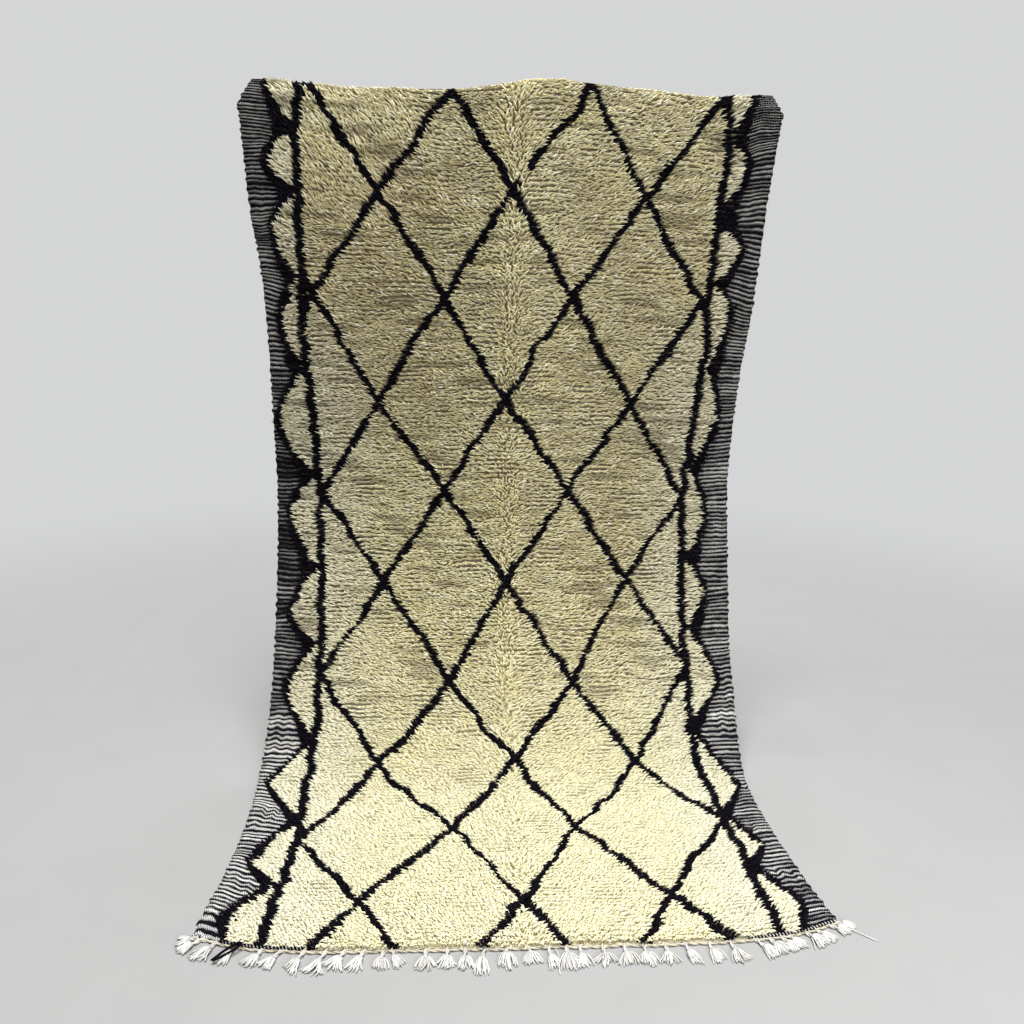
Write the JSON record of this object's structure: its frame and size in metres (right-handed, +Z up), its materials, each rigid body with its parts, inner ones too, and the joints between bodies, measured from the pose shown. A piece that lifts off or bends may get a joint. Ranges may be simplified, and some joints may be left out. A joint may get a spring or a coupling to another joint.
{
  "type": "berber pile rug",
  "caption": "Hand-knotted wool pile rug with a diamond lattice, striped flat-woven side bands and a knotted fringe, held up by its top edge with its lower end on the floor",
  "frame": {"origin": "midway between the two held corners of the top edge, on the line of the cloth's back; the floor that the lower end lies on is 2.024 m below", "axes": "+Z up, the pile side faces -Y, the lower end runs out over the floor towards -Y, X runs across the rug"},
  "size_m": [1.5676, 1.1694, 2.0446],
  "materials": {
    "wool_pile": "thick cream wool pile with a black wool lattice and border lines, striped black and white flat weave at the sides",
    "fringe_yarn": "undyed twined and knotted warp yarn, partly twined with black"
  },
  "bodies": {
    "root": {"rug": "wool_pile", "fringe": "fringe_yarn"}
  },
  "joints": []
}
